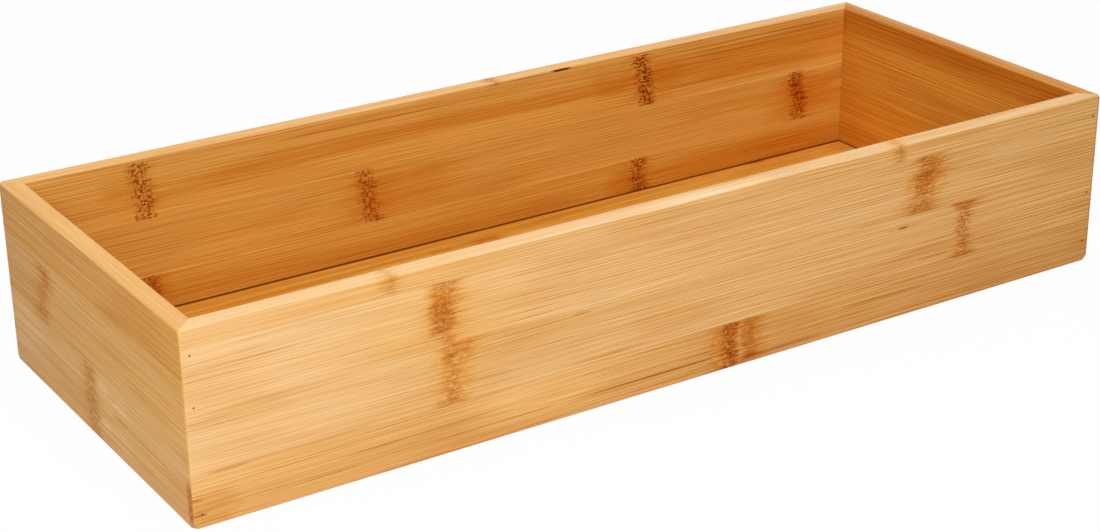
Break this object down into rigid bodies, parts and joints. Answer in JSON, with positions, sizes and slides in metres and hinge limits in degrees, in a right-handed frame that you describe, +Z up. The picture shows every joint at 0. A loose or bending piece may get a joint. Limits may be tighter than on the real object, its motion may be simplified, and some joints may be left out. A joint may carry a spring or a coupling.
{
  "type": "cutlery tray",
  "caption": "Open undivided bamboo cutlery tray: mitred walls of glued strips, pinned at the corners, around a thin base panel let into a groove.",
  "frame": {"origin": "on the ground under the middle of the tray", "axes": "+X along the tray's length to the right, +Y from the front wall to the back wall, +Z up"},
  "size_m": [0.38, 0.15, 0.068],
  "materials": {
    "bamboo_wall": "sanded, clear satin",
    "bamboo_base": "sanded, clear satin",
    "pin_steel": "dull, darkened"
  },
  "bodies": {
    "root": {"back_wall_strip_1": "bamboo_wall", "back_wall_strip_2": "bamboo_wall", "back_wall_strip_3": "bamboo_wall", "back_wall_strip_4": "bamboo_wall", "base_strip_1": "bamboo_base", "base_strip_2": "bamboo_base", "base_strip_3": "bamboo_base", "base_strip_4": "bamboo_base", "base_strip_5": "bamboo_base", "base_strip_6": "bamboo_base", "base_strip_7": "bamboo_base", "front_wall_strip_1": "bamboo_wall", "front_wall_strip_2": "bamboo_wall", "front_wall_strip_3": "bamboo_wall", "front_wall_strip_4": "bamboo_wall", "left_wall_strip_1": "bamboo_wall", "left_wall_strip_2": "bamboo_wall", "left_wall_strip_3": "bamboo_wall", "pins_back_left": "pin_steel", "pins_back_right": "pin_steel", "pins_front_left": "pin_steel", "pins_front_right": "pin_steel", "right_wall_strip_1": "bamboo_wall", "right_wall_strip_2": "bamboo_wall", "right_wall_strip_3": "bamboo_wall", "right_wall_strip_4": "bamboo_wall"}
  },
  "joints": []
}
